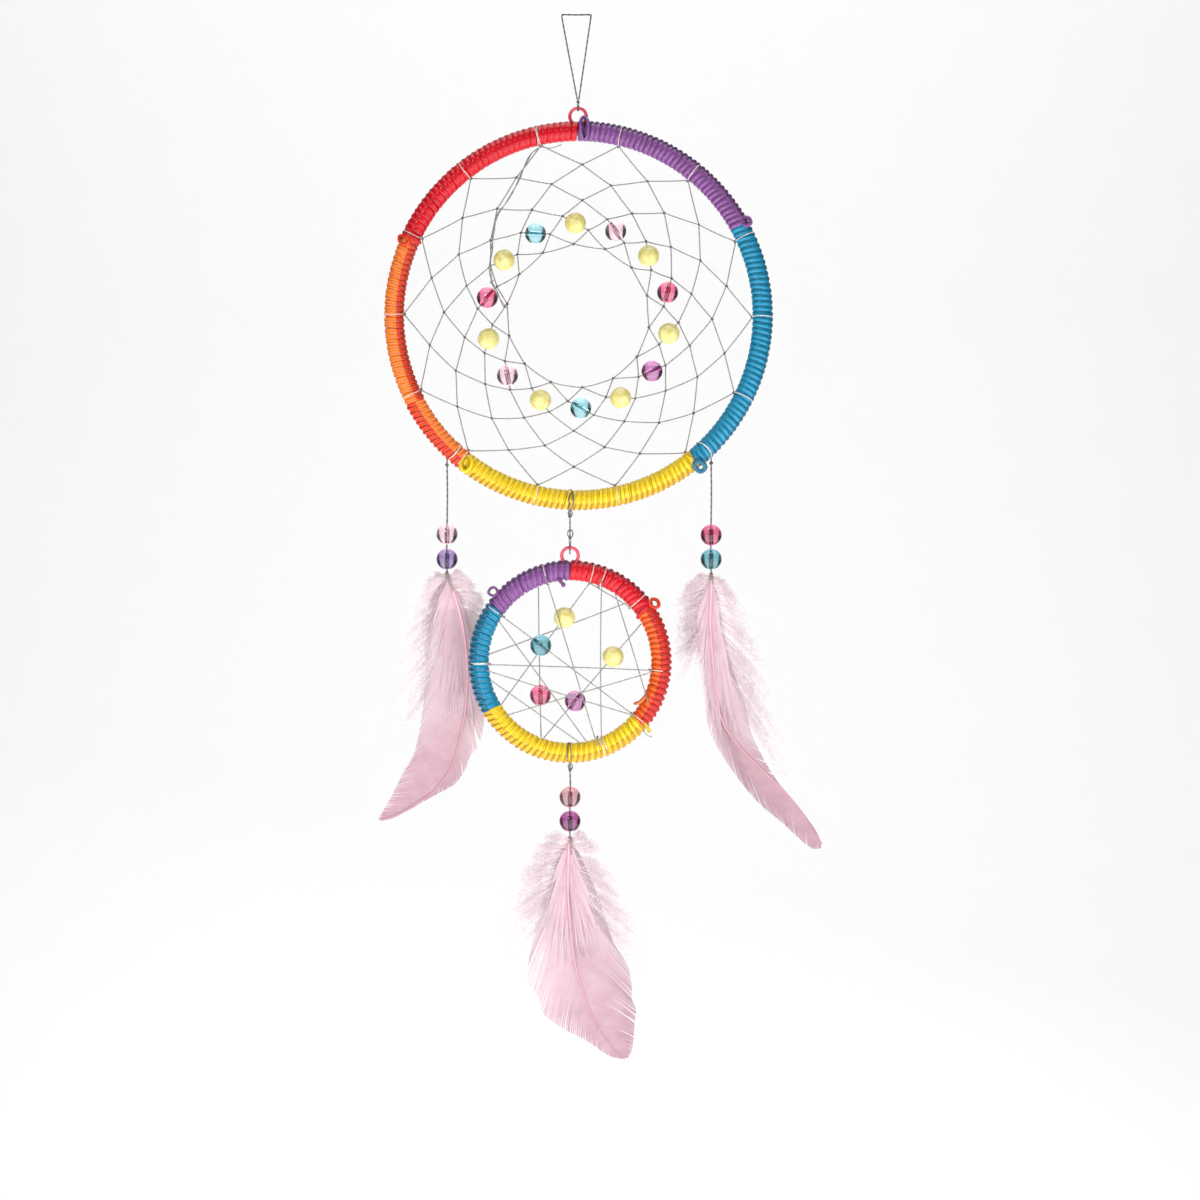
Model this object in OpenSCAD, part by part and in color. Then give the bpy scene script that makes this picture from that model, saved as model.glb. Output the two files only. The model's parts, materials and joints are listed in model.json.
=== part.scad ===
// Hanging dream catcher: a big netted hoop, a small strung hoop below it, and three feathers.
// The origin is the top of the hanging loop, +Z is up, and the front faces -Y.

/* [Hanging loop] */
// Height of the hanging loop, from its peg down to the knot over the big hoop
loop_h = 33; // [28:0.2:60]
// Width of the loop's flat top, where it lies over its peg
loop_w = 11.2; // [6:0.2:16]

/* [Big hoop] */
// Diameter of the big ring at the middle of its section
hoop_d = 142; // [141:0.5:144]

/* [Small hoop] */
// Diameter of the small ring at the middle of its section
small_d = 70; // [68:1:72]
// Height between the centres of the two hoops
hoop_gap = 133.4; // [133:0.2:140]

/* [Rings and wound cord] */
// Thickness of both plastic rings
ring_t = 3.5; // [3:0.1:4]
// Thickness of a hoop over its wound cord
wrap_t = 7.7; // [7.4:0.1:7.8]
// Outer diameter of the moulded hanging eyes
eye_d = 7.7; // [7.2:0.1:8]
// Thickness of the moulded eyes
eye_t = 1.3; // [1:0.1:1.4]

/* [Thread] */
// Diameter of the grey thread
thread_d = 0.5; // [0.4:0.05:0.6]
// Diameter of a knot in the thread
knot_d = 1.6; // [1.4:0.1:1.8]

/* [Beads] */
// Diameter of a round bead
bead_d = 8.2; // [7.6:0.1:8.2]
// Diameter of the hole through a bead
bead_bore = 1.3; // [1.2:0.1:1.6]

/* [Feathers] */
// Thickness of a feather at its shaft
feather_t = 1.2; // [0.8:0.1:1.6]

/* [Hidden] */
$fn = 64;

hoop_r = hoop_d / 2;
small_r = small_d / 2;
ring_r = ring_t / 2;
wrap_r = wrap_t / 2;
net_points = 14; // points at which the net is tied to the big hoop
step = 360 / net_points;
gap = 0.15; // free space between two pieces of thread that turn on each other
bite = 0.1; // how far the middle of a tight turn of thread lies outside the cord it grips

// Centres of the eyes and the hoops
eye_rise = 5.8; // from the middle of a ring's section up to the middle of its eye
eye_r = (eye_d - eye_t) / 2;
eye_bar = eye_rise + eye_r; // from the middle of a ring's section up to its eye's top bar
hitch_r = eye_t / 2 + gap + thread_d / 2; // radius of a turn of thread round an eye's bar
neck = 0.4; // from the top of that turn's circle up to the free end of its neck
hoop_x = 0.6;
knot_z = -loop_h - gap - knot_d / 2; // middle of the knot that closes the hanging loop
bar_z = knot_z - knot_d / 2 - gap - neck - hitch_r;
hoop_z = bar_z - eye_bar - hoop_r;
small_x = -2.5;
small_z = hoop_z - hoop_gap;

// Colours
red = "#d3202f";
purple = "#7a3c96";
blue = "#1286ac";
yellow = "#f2d21e";
orange = "#f4631d";
pink = "#e84a6a";
grey = "#8d8a88";
milky = "#e8db8a";
pale_pink = "#f2c3d0";

// A point at a radius and a clockwise angle from the top of a hoop, seen from the front
function at(r, a, y = 0) = [r * sin(a), y, r * cos(a)];
function unit(v) = v / norm(v);
function between(a, b, share = 0.5) = a + (b - a) * share;

// ---- Plain shapes of thread ----

// A ring of points round a line at point p that runs along t
function ring_points(p, t, d, n) =
    let (u = unit(cross(t, [0, 1, 0])), v = cross(u, t))
    [for (k = [0 : n - 1]) p + d / 2 * (cos(360 * k / n) * u + sin(360 * k / n) * v)];

function tangent(route, i) =
    unit(route[min(i + 1, len(route) - 1)] - route[max(i - 1, 0)]);

// A tube of thread along a route
module tube(route, d = thread_d, n = 8) {
    last = len(route) - 1;
    points = [for (i = [0 : last]) each ring_points(route[i], tangent(route, i), d, n)];
    sides = [for (i = [0 : last - 1], k = [0 : n - 1])
        [i * n + k, i * n + (k + 1) % n, (i + 1) * n + (k + 1) % n, (i + 1) * n + k]];
    ends = [[for (k = [n - 1 : -1 : 0]) k], [for (k = [0 : n - 1]) last * n + k]];
    polyhedron(points, concat(sides, ends), convexity = 8);
}

// Turns +Z to run along a direction
module along(direction) {
    length = norm(direction);
    rotate([0, acos(direction.z / length), atan2(direction.y, direction.x)]) children();
}

// A straight strand of the net, with its ends in its knots
module strand(a, b) {
    hull() translate(a) along(b - a) cylinder(d = thread_d, h = norm(b - a), $fn = 6);
}

// A turn of thread round a hoop's wound cord, at a clockwise angle
module turn(r, a) {
    translate(at(r, a)) rotate([0, a, 0]) rotate([0, 90, 0])
        rotate_extrude($fn = 12) translate([wrap_r + bite, 0]) circle(d = thread_d, $fn = 4);
}

module net_knot(p) {
    translate(p) sphere(d = 2 * thread_d, $fn = 4);
}

// ---- Beads ----

// A round bead at p, bored along the thread that carries it
module bead(p, direction, colour, opacity) {
    color(colour, opacity) translate(p) along(direction) difference() {
        sphere(d = bead_d);
        cylinder(d = bead_bore, h = 2 * bead_d, center = true);
    }
}

// ---- Rings and wound cord ----

// A plastic ring with its moulded eye on top
module eyed_ring(r) {
    color(pink) union() {
        rotate([90, 0, 0]) rotate_extrude() translate([r, 0]) circle(r = ring_r);
        translate([0, 0, r + eye_rise]) rotate([90, 0, 0])
            rotate_extrude() translate([eye_r, 0]) circle(d = eye_t);
        translate([0, 0, r]) cylinder(d = eye_t, h = eye_rise - eye_r);
    }
}

// The cord wound over a ring between two clockwise angles, open where the eye stands
module wound_cord(r, from, to, colour) {
    color(colour) difference() {
        rotate([90, 0, 0]) rotate([0, 0, 90 - to]) rotate_extrude(angle = to - from)
            translate([r, 0]) difference() {
                circle(r = wrap_r);
                circle(r = ring_r);
            }
        translate([0, 0, r + eye_rise]) rotate([90, 0, 0])
            cylinder(d = eye_d + 2 * gap, h = eye_t + 2 * gap, center = true);
    }
}

module on_big() { translate([hoop_x, 0, hoop_z]) children(); }
module on_small() { translate([small_x, 0, small_z]) children(); }

seam = 0.15; // half the angle left open between two colours of cord
small_seam = 0.3;

module big_ring() { on_big() eyed_ring(hoop_r); }
module wrap_red() { on_big() wound_cord(hoop_r, 295 + seam, 360 - seam, red); }
module wrap_purple() { on_big() wound_cord(hoop_r, seam, 61 - seam, purple); }
module wrap_blue() { on_big() wound_cord(hoop_r, 61 + seam, 141 - seam, blue); }
module wrap_yellow() { on_big() wound_cord(hoop_r, 141 + seam, 218 - seam, yellow); }
module wrap_orange() { on_big() wound_cord(hoop_r, 218 + seam, 295 - seam, orange); }

module small_ring() { on_small() eyed_ring(small_r); }
module small_wrap_red() {
    on_small() wound_cord(small_r, small_seam, 56 - small_seam, red);
}
module small_wrap_orange() {
    on_small() wound_cord(small_r, 56 + small_seam, 131 - small_seam, orange);
}
module small_wrap_yellow() {
    on_small() wound_cord(small_r, 131 + small_seam, 239 - small_seam, yellow);
}
module small_wrap_blue() {
    on_small() wound_cord(small_r, 239 + small_seam, 306 - small_seam, blue);
}
module small_wrap_purple() {
    on_small() wound_cord(small_r, 306 + small_seam, 360 - small_seam, purple);
}

// ---- The big net: rows of knots, each between two knots of the row outside it ----

net_r = [hoop_r - wrap_r, 58.3, 51.7, 44.5, 38.8, 33.2, 27.7];
net_a = [13.4, 1.6, 14.3, 2.1, 16.8, 6.8, 22.3];
net_side = [1, -1, 1, -1, 1, -1]; // on which side a knot's second strand runs to the next row

function net_at(row, k) = at(net_r[row], net_a[row] + k * step);

module net_thread() {
    color(grey) on_big() union() {
        for (k = [0 : net_points - 1]) {
            turn(hoop_r, net_a[0] + k * step);
            for (row = [0 : 5]) {
                strand(net_at(row, k), net_at(row + 1, k));
                strand(net_at(row, k), net_at(row + 1, k + net_side[row]));
                net_knot(net_at(row + 1, k));
            }
            strand(net_at(6, k), net_at(6, k + 1));
        }
    }
}

// The spare end of the net's thread, which hangs doubled from the hoop to the inner ring
tail_route = [
    [-14.1, -0.6, 65.2], [-18.5, -1.3, 61.5], [-23.5, -1.4, 50.7], [-27.4, -1.4, 43.8],
    [-30.9, -1.4, 38.8], [-32.6, -1.5, 32], [-33.2, -1.5, 25.3], [-34, -1.8, 19.1],
    [-33.2, -2.6, 13], [-31.4, -2.7, 9.2], [-29.7, -1.8, 5.6], [-28.3, -0.5, 3.4]
];

module net_tail() {
    color(grey) on_big() tube(tail_route, 2 * thread_d);
}

// A net bead in the middle of a strand from a knot of row 4 to the next knot inward
function bead_from(i) = net_at(4, i - 1);
function bead_to(i) = net_at(5, i);

// The beads clockwise from the top: every other one is milky yellow
bead_colours = [
    milky, pale_pink, milky, "#d2426e", milky, "#9a4fa0", milky,
    "#3fa3b5", milky, pale_pink, milky, "#d2426e", milky, "#5ab0d0"
];

module net_bead(i) {
    on_big() bead(between(bead_from(i), bead_to(i)), bead_to(i) - bead_from(i), bead_colours[i],
        i % 2 == 0 ? 1 : 0.6);
}

// ---- The small hoop's thread: straight strands across it, from one side to the other ----

// Clockwise angle and depth at each end of a strand
small_strands = [
    [337, 1.5, 201, 1.5], [344, -4, 162, -4], [21, -4, 159, -4], [14, -1.5, 236, 4],
    [14, -1.5, 48, -1.5], [34, -1.5, 118, -4], [46, 4, 273, 4], [62, 1.5, 199, 1.5],
    [304, -3.5, 130, -3.5], [300, -2.5, 168, -2.5], [268, -3, 96, -3], [264, -3, 130, -3],
    [257, -2, 173, -2], [230, -3, 97, -3]
];
small_turns = [14, 21, 48, 96, 130, 160, 268, 304, 344];

// Radius at which a strand at a depth y leaves the wound cord
function leave_r(y) = small_r - sqrt(max(0, pow(wrap_r + thread_d / 2, 2) - y * y));
function small_from(i) =
    at(leave_r(small_strands[i][1]), small_strands[i][0], small_strands[i][1]);
function small_to(i) =
    at(leave_r(small_strands[i][3]), small_strands[i][2], small_strands[i][3]);

module small_thread() {
    color(grey) on_small() union() {
        for (i = [0 : len(small_strands) - 1])
            strand(small_from(i), small_to(i));
        for (a = small_turns)
            turn(small_r, a);
    }
}

// Strand, place across the hoop and up it, colour and opacity: the bead slides to the nearest
// point of its strand
small_beads = [
    [3, -0.9, 16, milky, 1], [8, -11.5, 5.9, "#3fa3b5", 0.6], [7, 17.3, 1.2, milky, 1],
    [0, -11.5, -13, "#d2426e", 0.6], [7, 1.5, -14.8, "#9a4fa0", 0.6]
];

function share_of(a, d, x, z) = ((x - a.x) * d.x + (z - a.z) * d.z) / (d.x * d.x + d.z * d.z);

module small_bead(i) {
    b = small_beads[i];
    a = small_from(b[0]);
    d = small_to(b[0]) - a;
    on_small() bead(a + d * share_of(a, d, b[1], b[2]), d, b[3], b[4]);
}

// ---- Hanging loop, link and dangles ----

corner = 1; // radius of the loop's bends over the peg
beside = 0.35; // from the middle of the knot to each of the two strands that enter it
loop_route = concat(
    [[hoop_x - beside, 0, -loop_h]],
    [for (a = [0 : 30 : 90])
        [-loop_w / 2 + corner * (1 - cos(a)), 0, -thread_d / 2 - corner * (1 - sin(a))]],
    [for (a = [90 : -30 : 0])
        [loop_w / 2 - corner * (1 - cos(a)), 0, -thread_d / 2 - corner * (1 - sin(a))]],
    [[hoop_x + beside, 0, -loop_h]]
);

module thread_knot(p, d = knot_d) {
    color(grey) translate(p) sphere(d = d, $fn = 24);
}

module hanging_loop() { color(grey) tube(loop_route); }

module hanging_knot() { thread_knot([hoop_x, 0, knot_z]); }

// A turn of thread round an eye's top bar at p, with its short neck up to a height
module hitch(p, top) {
    color(grey) union() {
        translate(p) rotate([0, 90, 0])
            rotate_extrude($fn = 24) translate([hitch_r, 0]) circle(d = thread_d, $fn = 16);
        translate(p + [0, 0, hitch_r])
            cylinder(d = thread_d, h = top - p.z - hitch_r, $fn = 16);
    }
}

module eye_hitch() { hitch([hoop_x, 0, bar_z], knot_z - knot_d / 2 - gap); }

// The link from the big hoop's foot to the small hoop's eye
function lower_edge(x) = hoop_z - sqrt(pow(hoop_r + wrap_r, 2) - pow(x - hoop_x, 2));
small_bar = [small_x, 0, small_z + small_r + eye_bar];
link_drop = 2.6; // from the big hoop's foot down to the middle of the link's knot
link_neck = 1.6; // length of the small eye's hitch above its turn of thread
link_top_z = lower_edge(small_x) - link_drop;
link_low_z = small_bar.z + hitch_r + link_neck + gap + knot_d / 2;

module link_knot() { thread_knot([small_x, 0, link_top_z]); }
module link_thread() {
    color(grey) union() {
        translate([small_x, 0, link_low_z])
            cylinder(d = thread_d, h = link_top_z - knot_d / 2 - gap - link_low_z, $fn = 16);
        translate([small_x, 0, link_low_z]) sphere(d = knot_d, $fn = 24);
    }
}
module link_hitch() { hitch(small_bar, link_low_z - knot_d / 2 - gap); }

// Places of the ties: the point of a hoop's lower edge that is straight above each dangle
left_x = -49.9;
right_x = 51.9;
function tie_angle(x) = 180 - asin((x - hoop_x) / (hoop_r + wrap_r));
small_foot_z = small_z - small_r - wrap_r;

module hoop_ties() {
    color(grey) on_big() union() {
        turn(hoop_r, tie_angle(left_x));
        turn(hoop_r, tie_angle(right_x));
        turn(hoop_r, tie_angle(small_x));
    }
}
module small_tie() { color(grey) on_small() turn(small_r, 180); }

// A dangle: its place across, the heights of its tie knot, upper bead, lower bead and quill knot
drop = 2.4; // from the big hoop's lower edge down to a dangle's tie knot
centre_drop = 2.9;
left = [left_x, lower_edge(left_x) - drop, hoop_z - 84.2, hoop_z - 93.9, hoop_z - 99.3];
right = [right_x, lower_edge(right_x) - drop, hoop_z - 84.6, hoop_z - 93.9, hoop_z - 99.6];
centre = [small_x, small_foot_z - centre_drop, small_z - 52.2, small_z - 61.5, small_z - 68];

module dangle_knot(dangle, height) { thread_knot([dangle[0], 0, dangle[height]]); }

module dangle_thread(dangle) {
    top = dangle[1] - knot_d / 2 - gap;
    low = dangle[4] + knot_d / 2 + gap;
    color(grey) tube([[dangle[0], 0, top], [dangle[0], 0, (top + low) / 2], [dangle[0], 0, low]]);
}

module dangle_bead(dangle, height, colour) {
    bead([dangle[0], 0, dangle[height]], [0, 0, 1], colour, 0.6);
}

module left_knot() { dangle_knot(left, 1); }
module right_knot() { dangle_knot(right, 1); }
module centre_knot() { dangle_knot(centre, 1); }
module left_thread() { dangle_thread(left); }
module right_thread() { dangle_thread(right); }
module centre_thread() { dangle_thread(centre); }
module left_bead_top() { dangle_bead(left, 2, "#c84f80"); }
module left_bead_low() { dangle_bead(left, 3, "#8c5fb0"); }
module right_bead_top() { dangle_bead(right, 2, "#d2426e"); }
module right_bead_low() { dangle_bead(right, 3, "#3fa3b5"); }
module centre_bead_top() { dangle_bead(centre, 2, "#d88aa0"); }
module centre_bead_low() { dangle_bead(centre, 3, "#9a4fa0"); }
module left_quill_knot() { dangle_knot(left, 4); }
module right_quill_knot() { dangle_knot(right, 4); }
module centre_quill_knot() { dangle_knot(centre, 4); }

// ---- Feathers: a thin blade that narrows to both ends and bows along its shaft ----

// Each row: how far down from the quill knot, the shaft's shift, its depth behind the thread,
// and the blade's reach to the left and to the right of the shaft
left_rows = [
    [0.9, 0.2, 0, 0.5, 0.5], [5, 2.2, 1.4, 4, 3.6], [9, 4.2, 3, 8, 4.8], [14.5, 6.1, 5.6, 12, 5.8],
    [24, 7.2, 7.6, 14.5, 7.2], [34, 7.5, 8.6, 15.5, 7.6], [44, 6.8, 9.2, 15, 8.2],
    [55, 4.8, 9.4, 13, 10.2], [64, 2.7, 9.2, 11, 11.2], [71, 0.7, 9, 9.4, 11.4],
    [79, -4.4, 8.6, 7.4, 10], [86, -10.2, 8, 5.6, 8.2], [91, -16.6, 7.4, 4, 5], [96, -27, 6.6, 0.5, 0.6]
];
right_rows = [
    [0.9, -0.3, 0, 0.5, 0.5], [5, -1, 1.2, 2.2, 4], [12, -2.2, 3, 3.2, 7], [20, -3.4, 5, 3.4, 9.4],
    [33, -4.3, 6.8, 3, 12], [44, -2.2, 7.6, 4.4, 14], [56, 2.4, 8, 5.8, 14], [68, 7.8, 8, 6.2, 11.6],
    [80, 15.6, 7.6, 6, 8.6], [90.3, 23.9, 7, 5.4, 6.2], [99, 32.6, 6.2, 4.6, 4.4],
    [104.4, 38.8, 5.6, 3, 2.6], [107.2, 42.4, 5, 0.5, 0.5]
];
centre_rows = [
    [0.9, 0, 0, 0.5, 0.5], [4, 0, 0.3, 4, 4], [9, -0.1, 0.8, 10, 9], [16, -0.4, 1.4, 16, 14.5],
    [26.3, -0.8, 1.8, 19, 18], [36, 0, 2, 19.5, 20], [43.6, 1.2, 2, 19.5, 20.5],
    [57, 4, 1.8, 19.5, 19], [66.7, 6.6, 1.4, 17, 17.6], [75, 11.6, 0.8, 11.4, 13],
    [81, 17.4, 0.4, 7, 7.6], [84.9, 22.4, 0, 1.6, 1]
];

// The four corners of a feather's section: shaft front, right edge, shaft back, left edge
function blade(row, x, z) = [
    [x + row[1], row[2] - feather_t / 2, z - row[0]],
    [x + row[1] + row[4], row[2], z - row[0]],
    [x + row[1], row[2] + feather_t / 2, z - row[0]],
    [x + row[1] - row[3], row[2], z - row[0]]
];

module feather(rows, dangle) {
    last = len(rows) - 1;
    points = [for (r = rows) each blade(r, dangle[0], dangle[4])];
    sides = [for (i = [0 : last - 1], k = [0 : 3]) each [
        [4 * i + k, 4 * i + 4 + k, 4 * i + (k + 1) % 4],
        [4 * i + (k + 1) % 4, 4 * i + 4 + k, 4 * i + 4 + (k + 1) % 4]
    ]];
    ends = [[0, 1, 2], [0, 2, 3], [4 * last + 2, 4 * last + 1, 4 * last],
        [4 * last + 3, 4 * last + 2, 4 * last]];
    color(pale_pink) polyhedron(points, concat(sides, ends), convexity = 6);
}

module left_feather() { feather(left_rows, left); }
module right_feather() { feather(right_rows, right); }
module centre_feather() { feather(centre_rows, centre); }

hanging_loop();
hanging_knot();
eye_hitch();
big_ring();
wrap_red();
wrap_purple();
wrap_blue();
wrap_yellow();
wrap_orange();
net_thread();
net_tail();
hoop_ties();
net_bead(0);  // net_bead_1
net_bead(1);  // net_bead_2
net_bead(2);  // net_bead_3
net_bead(3);  // net_bead_4
net_bead(4);  // net_bead_5
net_bead(5);  // net_bead_6
net_bead(6);  // net_bead_7
net_bead(7);  // net_bead_8
net_bead(8);  // net_bead_9
net_bead(9);  // net_bead_10
net_bead(10);  // net_bead_11
net_bead(11);  // net_bead_12
net_bead(12);  // net_bead_13
net_bead(13);  // net_bead_14
link_knot();
link_thread();
link_hitch();
small_ring();
small_wrap_red();
small_wrap_orange();
small_wrap_yellow();
small_wrap_blue();
small_wrap_purple();
small_thread();
small_tie();
small_bead(0);  // small_bead_1
small_bead(1);  // small_bead_2
small_bead(2);  // small_bead_3
small_bead(3);  // small_bead_4
small_bead(4);  // small_bead_5
left_knot();
left_thread();
left_bead_top();
left_bead_low();
left_quill_knot();
left_feather();
right_knot();
right_thread();
right_bead_top();
right_bead_low();
right_quill_knot();
right_feather();
centre_knot();
centre_thread();
centre_bead_top();
centre_bead_low();
centre_quill_knot();
centre_feather();
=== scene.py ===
"""Looks of the hanging dream catcher, in metres, in the frame of its CAD model."""

import json
import math

import bpy
import numpy as np
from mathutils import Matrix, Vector


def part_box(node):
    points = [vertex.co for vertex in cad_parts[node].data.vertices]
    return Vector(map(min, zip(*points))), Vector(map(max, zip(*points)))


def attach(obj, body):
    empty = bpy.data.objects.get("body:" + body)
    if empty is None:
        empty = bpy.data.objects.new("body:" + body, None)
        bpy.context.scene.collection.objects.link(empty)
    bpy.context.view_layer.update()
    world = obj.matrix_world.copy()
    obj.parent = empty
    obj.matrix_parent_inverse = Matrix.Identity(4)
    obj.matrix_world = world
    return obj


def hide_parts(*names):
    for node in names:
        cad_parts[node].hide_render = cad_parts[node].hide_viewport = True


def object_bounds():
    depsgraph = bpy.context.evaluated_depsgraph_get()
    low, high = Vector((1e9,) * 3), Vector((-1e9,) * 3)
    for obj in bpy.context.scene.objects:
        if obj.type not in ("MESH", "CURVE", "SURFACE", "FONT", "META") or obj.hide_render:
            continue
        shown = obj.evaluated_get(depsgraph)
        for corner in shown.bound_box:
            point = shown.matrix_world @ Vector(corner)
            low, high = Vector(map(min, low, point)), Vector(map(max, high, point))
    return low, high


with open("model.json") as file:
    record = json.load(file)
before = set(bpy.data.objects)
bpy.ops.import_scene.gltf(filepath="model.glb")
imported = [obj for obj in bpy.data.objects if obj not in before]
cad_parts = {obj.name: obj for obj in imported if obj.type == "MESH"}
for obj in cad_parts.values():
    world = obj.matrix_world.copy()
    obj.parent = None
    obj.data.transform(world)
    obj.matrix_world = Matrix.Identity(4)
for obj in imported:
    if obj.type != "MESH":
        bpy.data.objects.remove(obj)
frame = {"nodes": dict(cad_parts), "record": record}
CAD_LO, CAD_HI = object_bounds()
RNG = np.random.default_rng(20)
MM = 0.001
JOINTS = {j["name"]: j for j in frame["record"]["behaviour"]["joints"]}
BODY = {n: b for b, ns in frame["record"]["behaviour"]["bodies"].items() for n in ns}


# ---- Camera: straight on, with a long lens ----

WIDE = 462.7 * MM  # what the picture spans at the hoop
LENS, SENSOR = 100, 36
eye = bpy.data.cameras.new("camera")
eye.lens = LENS
eye.sensor_width = SENSOR
camera = bpy.data.objects.new("camera", eye)
bpy.context.scene.collection.objects.link(camera)
camera.location = (9.06 * MM, -WIDE * LENS / SENSOR, -226.0 * MM)
camera.rotation_euler = (math.pi / 2, 0, 0)
eye.clip_end = 20
bpy.context.scene.camera = camera


# ---- Places, from the CAD model ----


def corners(node):
    lo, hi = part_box(node)
    return np.array(lo), np.array(hi)


def centre(node):
    lo, hi = corners(node)
    return (lo + hi) / 2


class Hoop:
    """A ring wound with cord. Angles are degrees clockwise from its top, seen from the front."""

    def __init__(self, ring, wrap, body):
        lo, hi = corners(ring)
        wide, thick = hi[0] - lo[0], hi[1] - lo[1]
        self.c = np.array([(lo[0] + hi[0]) / 2, 0, lo[2] + wide / 2])
        self.r = (wide - thick) / 2
        lo, hi = corners(wrap)
        self.t = (hi[1] - lo[1]) / 2
        self.body = body

    @staticmethod
    def out(a):
        """The direction outward from the centre at an angle."""
        a = np.radians(a)
        return np.stack([np.sin(a), np.zeros_like(a), np.cos(a)], -1)

    def at(self, r, a, y=0.0):
        """A point at a radius (mm) and an angle, at a depth y (mm)."""
        return self.c + self.out(np.asarray(a, float)) * r * MM + np.array([0, y * MM, 0])

    def skin(self, a, v, rho):
        """A point of the wound section: v is 0 at its outer edge, -90 in front, 180 inside."""
        a, v, rho = np.broadcast_arrays(*(np.asarray(q, float) for q in (a, v, rho)))
        v = np.radians(v)
        p = self.out(a) * (self.r + rho * np.cos(v))[..., None]
        p[..., 1] = rho * np.sin(v)
        return self.c + p


BIG = Hoop("big_ring", "wrap_purple", "hoop")
SMALL = Hoop("small_ring", "small_wrap_yellow", "small_hoop")


# ---- Meshes ----


def unit(v, tiny=0.0):
    return v / (np.linalg.norm(v, axis=-1, keepdims=True) + tiny)


def run(path):
    """The distance along a path at each of its points."""
    return np.concatenate([[0], np.cumsum(np.linalg.norm(np.diff(path, axis=0), axis=1))])


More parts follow.
